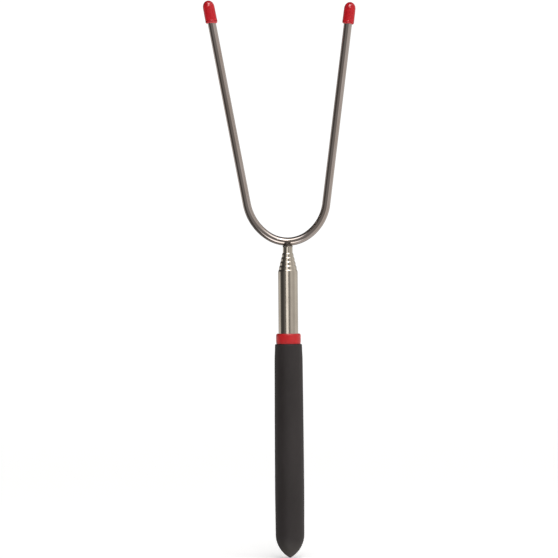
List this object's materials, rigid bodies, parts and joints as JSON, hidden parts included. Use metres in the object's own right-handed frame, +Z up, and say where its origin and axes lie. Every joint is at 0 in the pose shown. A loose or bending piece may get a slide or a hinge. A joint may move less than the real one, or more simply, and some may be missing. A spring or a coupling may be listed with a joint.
{
  "type": "telescoping two-prong roasting fork",
  "caption": "Hand-held roasting fork: a bent wire fork with capped points on a telescoping steel pole in a long rubber grip.",
  "frame": {"origin": "on the pole's axis, halfway up the grip, where a hand holds it", "axes": "+Z up the pole towards the fork's points; the two prongs lie in the XZ plane, the longer one at -X; +Y away from the front"},
  "size_m": [0.0839, 0.016, 0.3058],
  "materials": {
    "black_rubber": "satin black rubber sleeve",
    "red_plastic": "smooth moulded red plastic",
    "red_vinyl": "glossy dipped red vinyl",
    "polished_steel": "polished, slightly warm",
    "fork_steel": "polished drawn wire",
    "plain_steel": "turned, with a weld on the neck plug",
    "brass": "turned brass",
    "spring_bronze": "rolled bronze strip"
  },
  "bodies": {
    "grip": {"hand_grip": "black_rubber", "grip_collar": "red_plastic", "outer_tube": "polished_steel", "pole_end_plug": "plain_steel"},
    "spring_2": {"friction_spring_2": "spring_bronze"},
    "section_2": {"tube_section_2": "polished_steel", "foot_bush_2": "brass"},
    "spring_3": {"friction_spring_3": "spring_bronze"},
    "section_3": {"tube_section_3": "polished_steel", "foot_bush_3": "brass"},
    "spring_4": {"friction_spring_4": "spring_bronze"},
    "section_4": {"tube_section_4": "polished_steel", "foot_bush_4": "brass"},
    "spring_5": {"friction_spring_5": "spring_bronze"},
    "section_5": {"tube_section_5": "polished_steel", "foot_bush_5": "brass"},
    "spring_6": {"friction_spring_6": "spring_bronze"},
    "section_6": {"tube_section_6": "polished_steel", "foot_bush_6": "brass", "neck_plug": "plain_steel", "fork_wire": "fork_steel"},
    "cap_left": {"tip_cap_left": "red_vinyl"},
    "cap_right": {"tip_cap_right": "red_vinyl"}
  },
  "joints": [
    {"name": "section_2_slide", "type": "slide", "parent": "grip", "child": "spring_2", "axis": [0, 0, 1], "range_m": [0, 0.112]},
    {"name": "section_2_spin", "type": "hinge", "parent": "spring_2", "child": "section_2", "pos_m": [0, 0, 0], "axis": [0, 0, 1], "continuous": true},
    {"name": "section_3_slide", "type": "slide", "parent": "section_2", "child": "spring_3", "axis": [0, 0, 1], "range_m": [0, 0.112]},
    {"name": "section_3_spin", "type": "hinge", "parent": "spring_3", "child": "section_3", "pos_m": [0, 0, 0], "axis": [0, 0, 1], "continuous": true},
    {"name": "section_4_slide", "type": "slide", "parent": "section_3", "child": "spring_4", "axis": [0, 0, 1], "range_m": [0, 0.112]},
    {"name": "section_4_spin", "type": "hinge", "parent": "spring_4", "child": "section_4", "pos_m": [0, 0, 0], "axis": [0, 0, 1], "continuous": true},
    {"name": "section_5_slide", "type": "slide", "parent": "section_4", "child": "spring_5", "axis": [0, 0, 1], "range_m": [0, 0.112]},
    {"name": "section_5_spin", "type": "hinge", "parent": "spring_5", "child": "section_5", "pos_m": [0, 0, 0], "axis": [0, 0, 1], "continuous": true},
    {"name": "section_6_slide", "type": "slide", "parent": "section_5", "child": "spring_6", "axis": [0, 0, 1], "range_m": [0, 0.112]},
    {"name": "section_6_spin", "type": "hinge", "parent": "spring_6", "child": "section_6", "pos_m": [0, 0, 0], "axis": [0, 0, 1], "continuous": true},
    {"name": "cap_left_pull", "type": "slide", "parent": "section_6", "child": "cap_left", "axis": [-0.1822, 0, 0.9833], "range_m": [0, 0.018]},
    {"name": "cap_right_pull", "type": "slide", "parent": "section_6", "child": "cap_right", "axis": [0.1279, 0, 0.9918], "range_m": [0, 0.018]}
  ]
}
